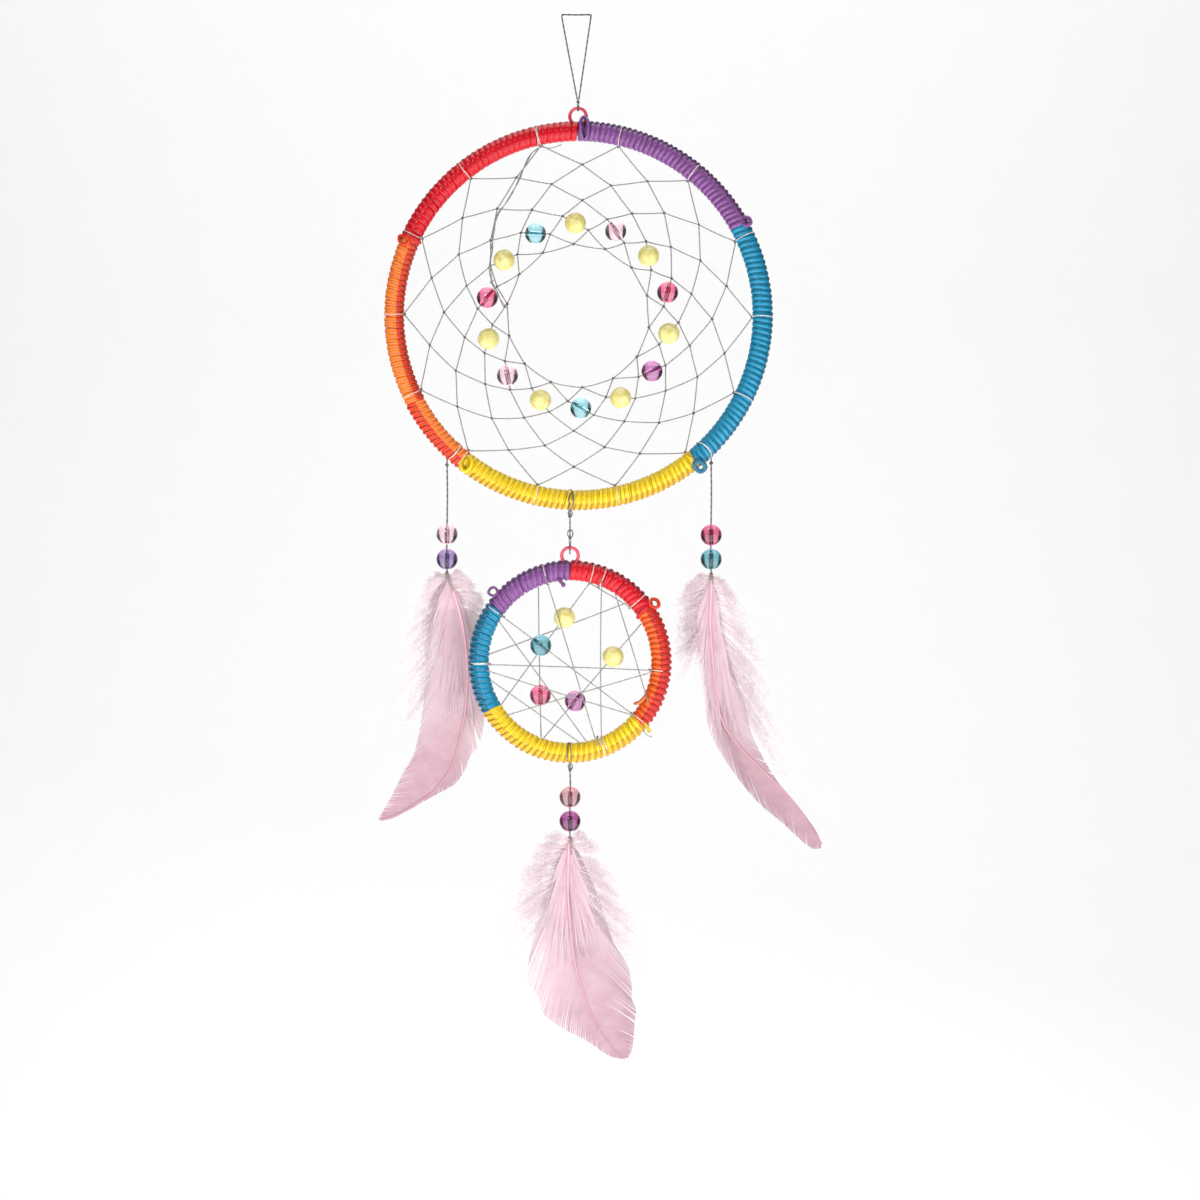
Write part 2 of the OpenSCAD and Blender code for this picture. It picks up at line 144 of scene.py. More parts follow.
class Shape:
    """Gathers grids of points into one mesh, with a UV map and a tint for each point."""

    def __init__(self):
        self.v, self.f, self.uv, self.tint, self.m, self.n = [], [], [], [], [], 0

    def grid(self, p, uv=None, tint=0.0, material=0, closed_u=False, closed_v=False, caps=False):
        """p is rows x columns x 3."""
        nu, nv = p.shape[:2]
        if uv is None:
            uu, vv = np.meshgrid(np.arange(nu), np.arange(nv) / nv, indexing="ij")
            uv = np.stack([uu, vv], -1)
        i = np.arange(nu if closed_u else nu - 1)[:, None]
        j = np.arange(nv if closed_v else nv - 1)[None, :]
        i2, j2 = (i + 1) % nu, (j + 1) % nv
        quads = np.stack(np.broadcast_arrays(i * nv + j, i * nv + j2, i2 * nv + j2, i2 * nv + j), -1)
        faces = (quads.reshape(-1, 4) + self.n).tolist()
        if caps:
            faces.append([self.n + k for k in range(nv)][::-1])
            faces.append([self.n + (nu - 1) * nv + k for k in range(nv)])
        self.v.append(p.reshape(-1, 3))
        self.uv.append(uv.reshape(-1, 2))
        self.tint.append(np.broadcast_to(np.asarray(tint, float), (nu, nv)).reshape(-1))
        kinds = np.broadcast_to(np.reshape(material, (-1, 1)), quads.shape[:2]).reshape(-1).tolist()
        self.f += faces
        self.m += kinds + kinds[:1] * (len(faces) - len(kinds))
        self.n += nu * nv

    def many(self, p, tint=0.0, material=0):
        """p is strips x rows x 2 x 3: many flat ribbons at once."""
        s, nu, nv = p.shape[:3]
        base = self.n + np.arange(s)[:, None] * nu * nv + np.arange(nu - 1)[None, :] * nv
        quads = np.stack([base, base + 1, base + nv + 1, base + nv], -1).reshape(-1, 4)
        self.v.append(p.reshape(-1, 3))
        uu = np.broadcast_to(np.linspace(0, 1, nu)[None, :, None], (s, nu, nv))
        vv = np.broadcast_to(np.arange(nv)[None, None, :], (s, nu, nv))
        self.uv.append(np.stack([uu, vv], -1).reshape(-1, 2))
        self.tint.append(np.broadcast_to(np.asarray(tint, float), (s, nu, nv)).reshape(-1))
        self.f += quads.tolist()
        self.m += [material] * len(quads)
        self.n += s * nu * nv

    def tube(self, path, radius, sides=6, plies=0, lay=1.6 * MM, closed=False, tint=0.0, material=0):
        """A tube along a path. With plies it is laid like a twisted thread."""
        path = np.asarray(path, float)
        n = len(path)
        if closed:
            t = np.roll(path, -1, 0) - np.roll(path, 1, 0)
        else:
            t = np.gradient(path, axis=0)
        t = unit(t)
        u = np.cross(t[0], [0.0, 1.0, 0.013])
        if np.linalg.norm(u) < 0.1:
            u = np.cross(t[0], [1.0, 0.0, 0.0])
        us = []
        for k in range(n):
            u = u - t[k] * np.dot(u, t[k])
            u = u / np.linalg.norm(u)
            us.append(u)
        us = np.array(us)
        vs = np.cross(t, us)
        if closed:  # spread the twist left over evenly round the ring
            over = math.atan2(np.dot(us[-1], vs[0]), np.dot(us[-1], us[0]))
            turn = -over * np.arange(n) / n
            c, s = np.cos(turn)[:, None], np.sin(turn)[:, None]
            us, vs = us * c + vs * s, vs * c - us * s
        along = run(path)
        phi = np.arange(sides) * 2 * np.pi / sides
        r = np.broadcast_to(np.asarray(radius, float), (n,))[:, None] * np.ones(sides)
        if plies:
            r = r * (0.87 + 0.13 * np.cos(plies * phi[None, :] - 2 * np.pi * along[:, None] / lay))
        p = (
            path[:, None, :]
            + us[:, None, :] * (r * np.cos(phi))[..., None]
            + vs[:, None, :] * (r * np.sin(phi))[..., None]
        )
        uv = np.stack(np.broadcast_arrays(along[:, None] / MM, phi[None, :] / (2 * np.pi)), -1)
        self.grid(p, uv, tint, material, closed_u=closed, closed_v=True, caps=not closed)

    def make(self, name, materials, body, replaces=()):
        mesh = bpy.data.meshes.new(name)
        mesh.from_pydata(np.concatenate(self.v).tolist(), [], self.f)
        for m in materials:
            mesh.materials.append(m)
        mesh.polygons.foreach_set("material_index", self.m)
        mesh.polygons.foreach_set("use_smooth", [True] * len(self.f))
        loops = np.zeros(len(mesh.loops), np.int32)
        mesh.loops.foreach_get("vertex_index", loops)
        layer = mesh.uv_layers.new(name="UVMap")
        layer.data.foreach_set("uv", np.concatenate(self.uv)[loops].reshape(-1))
        tint = mesh.attributes.new("tint", "FLOAT", "POINT")
        tint.data.foreach_set("value", np.concatenate(self.tint))
        mesh.update()
        return place(bpy.data.objects.new(name, mesh), body, replaces)


def place(obj, body, replaces=()):
    bpy.context.scene.collection.objects.link(obj)
    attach(obj, body)
    if replaces:
        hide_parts(*replaces)
    return obj


def full_turn(n):
    return np.linspace(0, 2 * np.pi, n, endpoint=False)


def bent(a, b, c, d, t):
    """The smooth curve from b to c, between a and d."""
    square, cube = 2 * a - 5 * b + 4 * c - d, 3 * b - a - 3 * c + d
    return 0.5 * (2 * b + (c - a) * t + square * t**2 + cube * t**3)


def sample(at, s, curve):
    """Points of a curve at places along it, where s is the place of each of its own points."""
    return np.stack([np.interp(at, s, curve[:, k]) for k in range(curve.shape[1])], -1)


def spline(points, n):
    """n points, evenly spaced, on a smooth curve through points."""
    p = np.asarray(points, float)
    q = np.concatenate([[2 * p[0] - p[1]], p, [2 * p[-1] - p[-2]]])
    t = np.linspace(0, 1, 24, endpoint=False)[:, None]
    out = [bent(*q[k - 1 : k + 3], t) for k in range(1, len(q) - 2)]
    out = np.concatenate(out + [p[-1:]])
    s = run(out)
    return sample(np.linspace(0, s[-1], n), s, out)


def loop_through(points):
    """A smooth closed curve through points."""
    p = np.asarray(points, float)
    n = len(p)
    t = np.linspace(0, 1, 8, endpoint=False)[:, None]
    return np.concatenate([bent(*(p[(k + i) % n] for i in (-1, 0, 1, 2)), t) for k in range(n)])


def length(path):
    return float(np.linalg.norm(np.diff(path, axis=0), axis=1).sum())


def knot(shape, at, size, thread, material=0):
    """A small closed knot of thread round a point: a trefoil, turned at random."""
    t = full_turn(30)
    p = np.stack([np.sin(t) + 2 * np.sin(2 * t), np.cos(t) - 2 * np.cos(2 * t), -1.3 * np.sin(3 * t)], -1)
    reach = 3.0  # the trefoil's own radius
    q = np.linalg.qr(RNG.normal(size=(3, 3)))[0]
    p = p @ q * (size / 2 - thread / 2) / reach
    shape.tube(p + at, thread / 2, sides=6, closed=True, material=material)


# ---- Materials ----


def linear(r, g, b):
    """Linear colour from the 0-255 values of an ordinary colour picker."""
    return tuple(((c / 255 + 0.055) / 1.055) ** 2.4 if c > 10 else c / 255 / 12.92 for c in (r, g, b))


def surface(m, name):
    return m.node_tree.nodes["Principled BSDF"].inputs[name]


def shader(name, colour, rough, **inputs):
    m = bpy.data.materials.new(name)
    m.use_nodes = True
    surface(m, "Base Color").default_value = (*linear(*colour), 1)
    surface(m, "Roughness").default_value = rough
    for k, v in inputs.items():
        surface(m, k.replace("_", " ")).default_value = v
    return m


def node(m, kind, **values):
    n = m.node_tree.nodes.new(kind)
    for k, v in values.items():
        setattr(n, k, v)
    return n


def link(m, a, b):
    m.node_tree.links.new(a, b)


def noise(m, scale, stretch=(1, 1, 1), coords="Object", detail=3.0):
    """A noise texture, stretched along the axes of its coordinates."""
    where = node(m, "ShaderNodeTexCoord")
    fit = node(m, "ShaderNodeMapping")
    fit.inputs["Scale"].default_value = stretch
    tex = node(m, "ShaderNodeTexNoise")
    tex.inputs["Scale"].default_value = scale
    tex.inputs["Detail"].default_value = detail
    link(m, where.outputs[coords], fit.inputs["Vector"])
    link(m, fit.outputs["Vector"], tex.inputs["Vector"])
    return tex.outputs["Fac"]


def spread(m, value, low, high, start=0.325, end=0.675):
    """Runs a value through a ramp, so that start to end becomes low to high."""
    r = node(m, "ShaderNodeMapRange")
    for name, level in zip(("From Min", "From Max", "To Min", "To Max"), (start, end, low, high)):
        r.inputs[name].default_value = level
    link(m, value, r.inputs["Value"])
    return r.outputs["Result"]


def mix(m, factor, a, b):
    n = node(m, "ShaderNodeMix", data_type="RGBA")
    link(m, factor, n.inputs[0])
    for socket, c in ((n.inputs[6], a), (n.inputs[7], b)):
        if isinstance(c, tuple):
            socket.default_value = (*linear(*c), 1)
        else:
            link(m, c, socket)
    return n.outputs[2]


def tint_of(m):
    return node(m, "ShaderNodeAttribute", attribute_name="tint").outputs["Fac"]


def paint(m, colour):
    link(m, colour, surface(m, "Base Color"))


def roughen(m, value, low, high):
    """Lets a 0-1 value set the roughness, between low and high."""
    link(m, spread(m, value, low, high), surface(m, "Roughness"))


def bump(m, height, strength, distance):
    n = node(m, "ShaderNodeBump")
    n.inputs["Strength"].default_value = strength
    n.inputs["Distance"].default_value = distance
    link(m, height, n.inputs["Height"])
    link(m, n.outputs["Normal"], surface(m, "Normal"))


def crest(m):
    """1 along the top of a turn of cord, 0 down its sides: the mask for the painted shade in the grooves.
    """
    where = node(m, "ShaderNodeTexCoord")
    split = node(m, "ShaderNodeSeparateXYZ")
    turn = node(m, "ShaderNodeMath", operation="MULTIPLY")
    turn.inputs[1].default_value = 2 * math.pi
    wave = node(m, "ShaderNodeMath", operation="COSINE")
    link(m, where.outputs["UV"], split.inputs["Vector"])
    link(m, split.outputs["Y"], turn.inputs[0])
    link(m, turn.outputs[0], wave.inputs[0])
    return spread(m, wave.outputs[0], 0, 1, 0, 0.75)


def cord(name, dark, main, light):
    """Satin cord: fine fibres run along it; painted shade darkens the grooves between the turns, and
    painted highlight streaks lighten some fibres.
    """
    m = shader("cord_" + name, main, 0.36, Specular_IOR_Level=0.22, Coat_Weight=0.24, Coat_Roughness=0.12)
    fibres = noise(m, 1.0, (0.9, 26, 1), "UV", 2.0)
    drift = noise(m, 420, detail=2.0)
    # painted shade: the sides of each turn, down in the grooves, take the dark colour
    body = mix(m, crest(m), dark, main)
    body = mix(m, spread(m, drift, 0, 0.35), body, dark)
    # painted highlight: lighter streaks along the fibres, in the satin's highlight colour
    paint(m, mix(m, spread(m, fibres, 0, 0.32), body, light))
    roughen(m, fibres, 0.28, 0.42)
    bump(m, fibres, 0.2, 0.0002)
    return m


def thread(name, dark, light):
    """Dull twisted thread, lighter in patches."""
    m = shader("thread_" + name, dark, 0.62, Sheen_Weight=0.2)
    paint(m, mix(m, spread(m, noise(m, 1500), 0, 1), dark, light))
    roughen(m, noise(m, 900), 0.5, 0.72)
    bump(m, noise(m, 1.0, (2.2, 9, 1), "UV", 2.0), 0.4, 0.0001)
    return m


def clear(name, colour):
    """See-through plastic, for the tinted beads."""
    m = shader("bead_" + name, colour, 0.03, Transmission_Weight=1.0, IOR=1.49, Specular_IOR_Level=0.5)
    roughen(m, noise(m, 900), 0.015, 0.06)
    bump(m, noise(m, 260), 0.05, 0.0002)
    return m


def down(name, near, far, tip):
    """A feather's barbs: pinker by the shaft, paler outward."""
    m = shader(name, near, 0.6, Sheen_Weight=0.12, Sheen_Roughness=0.5, Specular_IOR_Level=0.2)
    body = mix(m, tint_of(m), near, far)
    paint(m, mix(m, spread(m, noise(m, 240), 0, 0.16), body, tip))
    roughen(m, noise(m, 500), 0.45, 0.65)
    bump(m, noise(m, 1.0, (60, 2, 1), "UV", 2.0), 0.25, 0.00008)
    return m


# Each cord's three colours: a dark one for the painted shade in its grooves and for random darker patches,
# its own colour, and a light one for its painted highlight streaks
RED = cord("red", (146, 0, 14), (204, 4, 24), (218, 30, 50))
PURPLE = cord("purple", (44, 12, 54), (116, 58, 130), (196, 138, 208))
BLUE = cord("blue", (0, 52, 80), (0, 122, 162), (56, 180, 212))
YELLOW = cord("yellow", (160, 116, 0), (220, 188, 8), (244, 224, 60))
ORANGE = cord("orange", (150, 28, 4), (244, 118, 30), (255, 190, 100))
RED_EDGE = cord("red_edge", (78, 0, 8), (176, 8, 26), (222, 70, 84))
PURPLE_EDGE = cord("purple_edge", (26, 6, 34), (84, 36, 98), (152, 100, 168))
BLUE_EDGE = cord("blue_edge", (0, 40, 62), (0, 96, 132), (50, 150, 184))
YELLOW_EDGE = cord("yellow_edge", (136, 88, 0), (206, 160, 4), (238, 204, 44))
ORANGE_EDGE = cord("orange_edge", (128, 10, 6), (226, 48, 22), (248, 104, 52))
FLAME = cord("flame", (146, 20, 0), (224, 72, 8), (240, 136, 44))
FLAME_EDGE = cord("flame_edge", (118, 4, 2), (200, 18, 6), (228, 58, 24))
GREY = thread("grey", (96, 92, 90), (152, 148, 144))
# painted highlight: a lighter copy of the grey thread, for the turns of thread that lie over the wound cord
LIT_PALE_THREAD = thread("tie", (176, 166, 156), (232, 226, 216))
# painted shade: a near-black thread for the hanging loop's top and the start of its right leg
SHADOW_BLACK = thread("dark", (14, 14, 14), (38, 38, 38))
DARK = thread("dangle", (52, 51, 51), (98, 96, 95))

PLASTIC = shader("pink_plastic", (216, 52, 84), 0.2, Coat_Weight=0.4, Coat_Roughness=0.08)
patches = spread(PLASTIC, noise(PLASTIC, 300), 0, 1)
paint(PLASTIC, mix(PLASTIC, patches, (192, 30, 62), (232, 84, 110)))
roughen(PLASTIC, noise(PLASTIC, 700), 0.14, 0.3)
bump(PLASTIC, noise(PLASTIC, 500), 0.12, 0.0003)

MILKY = shader("bead_milky", (212, 203, 128), 0.28, Subsurface_Weight=0.1, Subsurface_Scale=0.001)
patches = spread(MILKY, noise(MILKY, 520, detail=4.0), 0, 1)
paint(MILKY, mix(MILKY, patches, (194, 182, 94), (224, 216, 152)))
roughen(MILKY, noise(MILKY, 600), 0.22, 0.4)
bump(MILKY, noise(MILKY, 420), 0.12, 0.0003)

PALE_PINK = clear("pale_pink", (255, 220, 230))
PINK = clear("pink", (246, 130, 166))
CERISE = clear("cerise", (222, 112, 150))
ROSE = clear("rose", (216, 164, 170))
VIOLET = clear("purple", (206, 138, 190))
PLUM = clear("plum", (172, 92, 150))
LILAC = clear("lilac", (168, 142, 196))
TEAL = clear("teal", (172, 222, 232))
SEA = clear("sea", (124, 186, 198))

VANE = down("feather_vane", (167, 132, 143), (212, 193, 199), (212, 196, 201))
FLUFF = down("feather_down", (186, 154, 163), (206, 192, 196), (216, 204, 208))
SHAFT = shader("feather_shaft", (212, 156, 170), 0.4)
paint(SHAFT, mix(SHAFT, tint_of(SHAFT), (222, 164, 178), (182, 128, 144)))
roughen(SHAFT, noise(SHAFT, 800), 0.3, 0.5)
bump(SHAFT, noise(SHAFT, 600, (1, 1, 0.2)), 0.2, 0.0001)


# ---- Cords: the hanging loop, the net's spare end and the three dangles' threads ----

THREAD = 0.5 * MM
DOWN = np.array([0, 0, -MM])


def plied(name, path, diameter, materials, body, replaces):
    """Two-ply cord along a path; gives back the piece and its middle line."""
    shape = Shape()
    spacing = 0.35 * MM
    line = spline(path, max(12, int(length(path) / spacing)))
    shape.tube(line, diameter / 2, sides=10, plies=2, lay=2.4 * MM)
    return shape.make(name, materials, body, replaces), line


# the loop's top is flat, with a small bend at each end
lo, hi = corners("hanging_loop")
peg_half = (hi[0] - lo[0]) / 2 - THREAD / 2
loop_foot = centre("hanging_knot")
top = hi[2] - 0.35 * MM
bend = 0.5 * MM
loop_path = [
    loop_foot + [-0.3 * MM, 0, 0.9 * MM],
    [-peg_half + 0.5 * MM, 0, top - 4 * MM],
    [-peg_half + 0.05 * MM, 0, top - bend],
    [-peg_half + bend, 0, top],
    [0, 0, top - 0.04 * MM],
    [peg_half - bend, 0, top],
    [peg_half - 0.05 * MM, 0, top - bend],
    [peg_half - 0.5 * MM, 0, top - 4 * MM],
    loop_foot + [0.3 * MM, 0, 0.9 * MM],
]
loop, loop_line = plied(
    "hanging_loop_thread", loop_path, 0.62 * MM, [DARK, SHADOW_BLACK], BODY["hanging_loop"], ["hanging_loop"]
)
# the thread is painted darker along the top and where its right leg starts: painted shade, not a colour of
# the thread
dark = [
    int(p.center.z > top - 0.9 * MM or (p.center.x > 4 * MM and p.center.z > top - 3 * MM))
    for p in loop.data.polygons
]
loop.data.polygons.foreach_set("material_index", dark)

tail_route = np.array([
    [-14.1, -0.6, 65.2], [-18.5, -1.3, 61.5], [-23.5, -1.4, 50.7], [-27.4, -1.4, 43.8],
    [-30.9, -1.4, 38.8], [-32.6, -1.5, 32], [-33.2, -1.5, 25.3], [-34, -1.8, 19.1],
    [-33.2, -2.6, 13], [-31.4, -2.7, 9.2], [-29.7, -1.8, 5.6], [-28.3, -0.5, 3.4],
]) * MM + BIG.c
tail_line = spline(tail_route, 220)
tail = Shape()
twist = np.linspace(0, 9 * np.pi, len(tail_line))
for turn in (0, np.pi):  # two strands that lie round each other
    apart = 0.26 * MM
    lay = twist + turn
    beside = np.stack([np.cos(lay), 0.8 * np.sin(lay), 0.4 * np.cos(lay)], -1)
    tail.tube(tail_line + beside * apart, 0.24 * MM, sides=7, plies=2, lay=1.8 * MM)
knot(tail, np.array([-33.2, -2.6, 13]) * MM + BIG.c, 2.0 * MM, 0.5 * MM)
knot(tail, tail_line[-1], 1.8 * MM, 0.5 * MM)
tail_thread = tail.make("net_tail_thread", [GREY], BODY["net_tail"], ["net_tail"])

SIDES = ("left", "right", "centre")
for side in SIDES:
    start = centre(f"{side}_knot")
    reach = centre(f"{side}_quill_knot") + 0.2 * DOWN
    sway = [0.12 * MM, 0, 0]
    route = [start, start * 0.7 + reach * 0.3 + sway, start * 0.3 + reach * 0.7 - sway, reach]
    if side == "centre":  # its end is bound in with the quill
        route += [reach + 1.9 * DOWN, reach + 3.9 * DOWN]
    obj, line = plied(f"{side}_dangle_thread", route, 0.66 * MM, [DARK], BODY[f"{side}_thread"],
                      [f"{side}_thread"])


# ---- Cord wound over the rings ----


def wind(name, hoop, start, end, main, edge, node_name,
         pitch=2.0, purl=(-40, 62), raised=0.45, relief=1.0):
    """Half hitches side by side, pitch mm apart: a turn round the ring, and its purl over one edge,
    raised in mm. Relief is how deep the grooves between the turns are."""
    shape = Shape()
    arc = math.radians(end - start) * hoop.r
    n = int(round(arc / (pitch * MM)))
    step = (end - start) / n
    thick = 0.74 * MM
    # the cord's inner layer, seen between the turns
    under = np.linspace(-180, 180, 14, endpoint=False)
    along = np.linspace(start + 0.2, end - 0.2, n * 2)
    inner = hoop.skin(along[:, None], under[None, :], hoop.t - 0.85 * MM)
    shape.grid(inner, material=1, closed_v=True)
    v = np.linspace(-180, 180, 24, endpoint=False)
    phi = full_turn(10)
    round_off = np.sign(np.cos(phi)) * np.abs(np.cos(phi)) ** 0.75
    outer = ((v - purl[0] + 8) % 360 < purl[1] - purl[0] + 12).astype(int)
    s = np.linspace(0, 1, 11)
    for k in range(n):
        a = start + (k + 0.5) * step + RNG.normal() * step * 0.04
        t = thick * (1 + RNG.normal() * 0.05)
        swell = 1 + 0.05 * np.cos(np.radians(v) * 2 + RNG.uniform(0, 6))
        rho = (hoop.t - 0.04 * MM) - t * relief * (1 - round_off[None, :]) * swell[:, None]
        lean = 0.22 * step * np.cos(np.radians(v)) * (1 + RNG.normal() * 0.2)
        half = step * 0.55 * (1 + RNG.normal() * 0.04)
        p = hoop.skin(a + lean[:, None] + half * np.sin(phi)[None, :], v[:, None], rho)
        uu = np.radians(v[:, None]) * hoop.t / MM + k * 30
        uv = np.stack(np.broadcast_arrays(uu, phi[None, :] / (2 * np.pi)), -1)
        shape.grid(p, uv, RNG.uniform(0, 1), outer, closed_u=True, closed_v=True)
        swell = np.sin(np.pi * s) ** 0.35
        thin = 0.86 * MM * (0.35 + 0.65 * swell)
        lift = hoop.t + raised * MM * swell - thin - 0.18 * MM * (1 - swell)
        line = hoop.skin(a + step * (-0.4 + 0.8 * s), purl[0] + (purl[1] - purl[0]) * s, lift)
        shape.tube(line, thin, sides=9, material=1)
    shape.make("cord_" + name, [main, edge], hoop.body, [node_name] if node_name else [])


wind("red_big", BIG, 295, 359.8, RED, RED_EDGE, "wrap_red", 2.3, (-26, 60), 0.3, 0.5)
wind("purple_big", BIG, 0.2, 61, PURPLE, PURPLE_EDGE, "wrap_purple", 2.05, (-38, 62))
wind("blue_big", BIG, 61, 141, BLUE, BLUE_EDGE, "wrap_blue", 2.15, (-30, 60), 0.4, 0.75)
wind("yellow_big", BIG, 141, 218, YELLOW, YELLOW_EDGE, "wrap_yellow", 2.1, (-66, 60), 0.35, 0.75)
# the orange cord's hitches cross from its outer side to its inner side part of the way up
wind("orange_big", BIG, 242, 295, ORANGE, ORANGE_EDGE, "wrap_orange", 2.1, (-236, -112), 0.2)
wind("orange_foot", BIG, 218, 242, ORANGE, ORANGE_EDGE, "", 2.1, (-84, 58), 0.3)
wind("red_small", SMALL, 0.2, 56, RED, RED_EDGE, "small_wrap_red", 2.2, (-44, 60), 0.45, 0.7)
wind("orange_small", SMALL, 56, 131, FLAME, FLAME_EDGE, "small_wrap_orange", 2.2, (-88, 58), 0.5)
wind("yellow_small", SMALL, 131, 239, YELLOW, YELLOW_EDGE, "small_wrap_yellow", 2.2, (-76, 58))
wind("blue_small", SMALL, 239, 306, BLUE, BLUE_EDGE, "small_wrap_blue", 2.2, (-70, 58))
wind("purple_small", SMALL, 306, 359.8, PURPLE, PURPLE_EDGE, "small_wrap_purple", 2.2, (-45, 62))

# Where a length of cord starts or ends, small loops and cut ends: the number of its colour in CORDS,
# whether it is a closed loop, its radius, and its route (across and up from the hoop's centre, and
# depth), in mm
CORDS = [RED, PURPLE, BLUE, YELLOW, ORANGE, ORANGE_EDGE]
BIG_ENDS = (
    (1, True, 0.72, [(2.3, 76.2, -2.2), (3.7, 74.6, -3.9), (3.9, 71.6, -4.5), (3.4, 68.6, -3.8),
                     (2.2, 67.6, -2.8), (1.3, 69.4, -3.9), (1.0, 72.4, -4.5), (1.2, 75.0, -3.6)]),
    (1, True, 0.8, [(63.2, 37.6, -1.6), (65.6, 37.4, -2.0), (66.4, 35.4, -2.2), (64.4, 34.4, -2.8),
                    (62.4, 35.6, -2.8)]),
    (0, False, 0.7, [(-67.6, 30.9, -2.2), (-65.2, 30.5, -3.9), (-62.6, 29.2, -3.6), (-60.4, 27.6, -1.6)]),
    (5, True, 0.8, [(-68.6, 30.4, -1.6), (-66.2, 30.0, -3.3), (-64.9, 28.2, -3.7),
                    (-66.4, 27.0, -3.6), (-68.4, 28.2, -2.4)]),
    (3, True, 0.95, [(-42.8, -54.6, -2.4), (-41.0, -56.2, -4.0), (-41.6, -58.9, -4.3),
                     (-43.6, -60.0, -3.6), (-44.8, -58.2, -3.4), (-44.4, -56.0, -3.2)]),
    (2, True, 0.9, [(47.0, -60.2, -1.4), (49.0, -58.6, -2.6), (47.6, -56.6, -4.0),
                    (45.4, -56.4, -4.2), (44.8, -58.2, -3.6)]),
    (3, False, 0.62, [(44.2, -55.2, -3.9), (42.2, -54.2, -3.2), (40.9, -53.1, -1.4)]),
)
SMALL_ENDS = (
    (1, True, 0.55, [(-31.4, 26.4, -0.6), (-30.6, 28.2, -0.8), (-28.9, 28.5, -1.0),
                     (-27.9, 26.8, -1.8), (-29.3, 25.3, -1.9)]),
    (1, False, 0.7, [(-4.4, 31.6, -3.2), (-3.0, 30.2, -2.8), (-2.6, 29.3, -1.6), (-2.2, 30.3, -0.6)]),
    (5, True, 0.72, [(31.6, 24.0, -0.6), (33.6, 23.6, -0.8), (34.2, 21.6, -1.2), (32.4, 20.8, -2.2),
                     (30.8, 22.2, -2.2)]),
    (0, False, 0.7, [(28.6, 20.6, -3.4), (27.0, 18.8, -3.2), (26.2, 17.2, -2.0), (26.4, 16.6, -0.8)]),
    (4, False, 0.68, [(28.9, -13.2, -3.7), (27.6, -14.8, -3.8), (26.0, -15.9, -3.0), (24.6, -16.2, -1.6)]),
    (3, False, 0.72, [(28.6, -23.4, -3.4), (29.7, -25.2, -2.8), (30.6, -26.6, -1.2), (30.2, -27.0, 0.2)]),
)
for name, hoop, routes in (("big", BIG, BIG_ENDS), ("small", SMALL, SMALL_ENDS)):
    shape = Shape()
    for colour, closed, radius, route in routes:
        p = np.array([(x, y, z) for x, z, y in route]) * MM + hoop.c
        if closed:
            shape.tube(loop_through(p), radius * MM, sides=9, closed=True, material=colour)
        else:
            slim = np.sqrt(np.clip(1 - np.linspace(-0.95, 1, 26) ** 8, 0.05, 1))
            shape.tube(spline(p, 26), radius * slim * MM, sides=9, material=colour)
    shape.make(f"cord_ends_{name}", CORDS, hoop.body)


# ---- The big net ----

# The rows of knots from the hoop inward: radius (mm), angle of the first knot, and which neighbour in
# the next row the second thread goes to
AROUND = 14
STEP = 360 / AROUND
NET_R = [(BIG.r - BIG.t) / MM, 58.3, 51.7, 44.5, 38.8, 33.2, 27.7]
NET_A = [13.4, 1.6, 14.3, 2.1, 16.8, 6.8, 22.3]
NET_SIDE = [1, -1, 1, -1, 1, -1]


def net_at(row, k):
    return BIG.at(NET_R[row], NET_A[row] + k * STEP)


def strand(shape, a, b, slack=0.0, radius=0.26 * MM):
    """A thread between two knots; slack is how far its middle hangs, as a share of its length."""
    n = max(5, int(np.linalg.norm(b - a) / (0.6 * MM)))
    t = np.linspace(0, 1, n)[:, None]
    hang = 4 * t * (1 - t) * np.linalg.norm(b - a)
    wander = RNG.normal(size=3) * 0.004
    line = a + (b - a) * t + hang * (np.array([0, 0, -slack]) + wander)
    shape.tube(line, radius, sides=6, plies=2, lay=1.5 * MM)


def wrap_turn(shape, hoop, a, lean=0.0, material=0):
    """A turn of thread over the wound cord, pulled down between two turns of the cord."""
    v = np.linspace(-180, 180, 30, endpoint=False)
    line = hoop.skin(a + lean * np.sin(np.radians(v)), v, hoop.t + 0.02 * MM)
    shape.tube(line, 0.19 * MM, sides=6, closed=True, plies=2, lay=1.5 * MM, material=material)


net = Shape()
for k in range(AROUND):
    for row, neighbour in enumerate(NET_SIDE):
        loose = 0.012 + 0.02 * max(0, math.cos(math.radians(k * STEP))) * (row > 3)
        strand(net, net_at(row, k), net_at(row + 1, k), loose)
        beaded = row == 4  # the beads keep these threads straight
        strand(net, net_at(row, k), net_at(row + 1, k + neighbour), 0 if beaded else loose)
        knot(net, net_at(row + 1, k), 1.35 * MM, 0.46 * MM, 2)
    strand(net, net_at(6, k), net_at(6, k + 1), 0.03)
    angle = NET_A[0] + k * STEP
    wrap_turn(net, BIG, angle, 0.35, material=1)
    knot(net, net_at(0, k) - BIG.out(angle) * 0.2 * MM, 1.4 * MM, 0.46 * MM, 2)
wrap_turn(net, BIG, NET_A[0] + (AROUND - 1) * STEP - 1.1, -0.5, material=1)
slack = [BIG.at(67.0, -13.2, -1.5), BIG.at(65.2, -9.5, -1.8), BIG.at(66.0, -5.5, -1.6)]
net.tube(spline(slack, 24), 0.2 * MM, plies=2)
net.make("net_threads", [GREY, LIT_PALE_THREAD, DARK], BODY["net_thread"], ["net_thread"])


# ---- The small hoop's thread ----

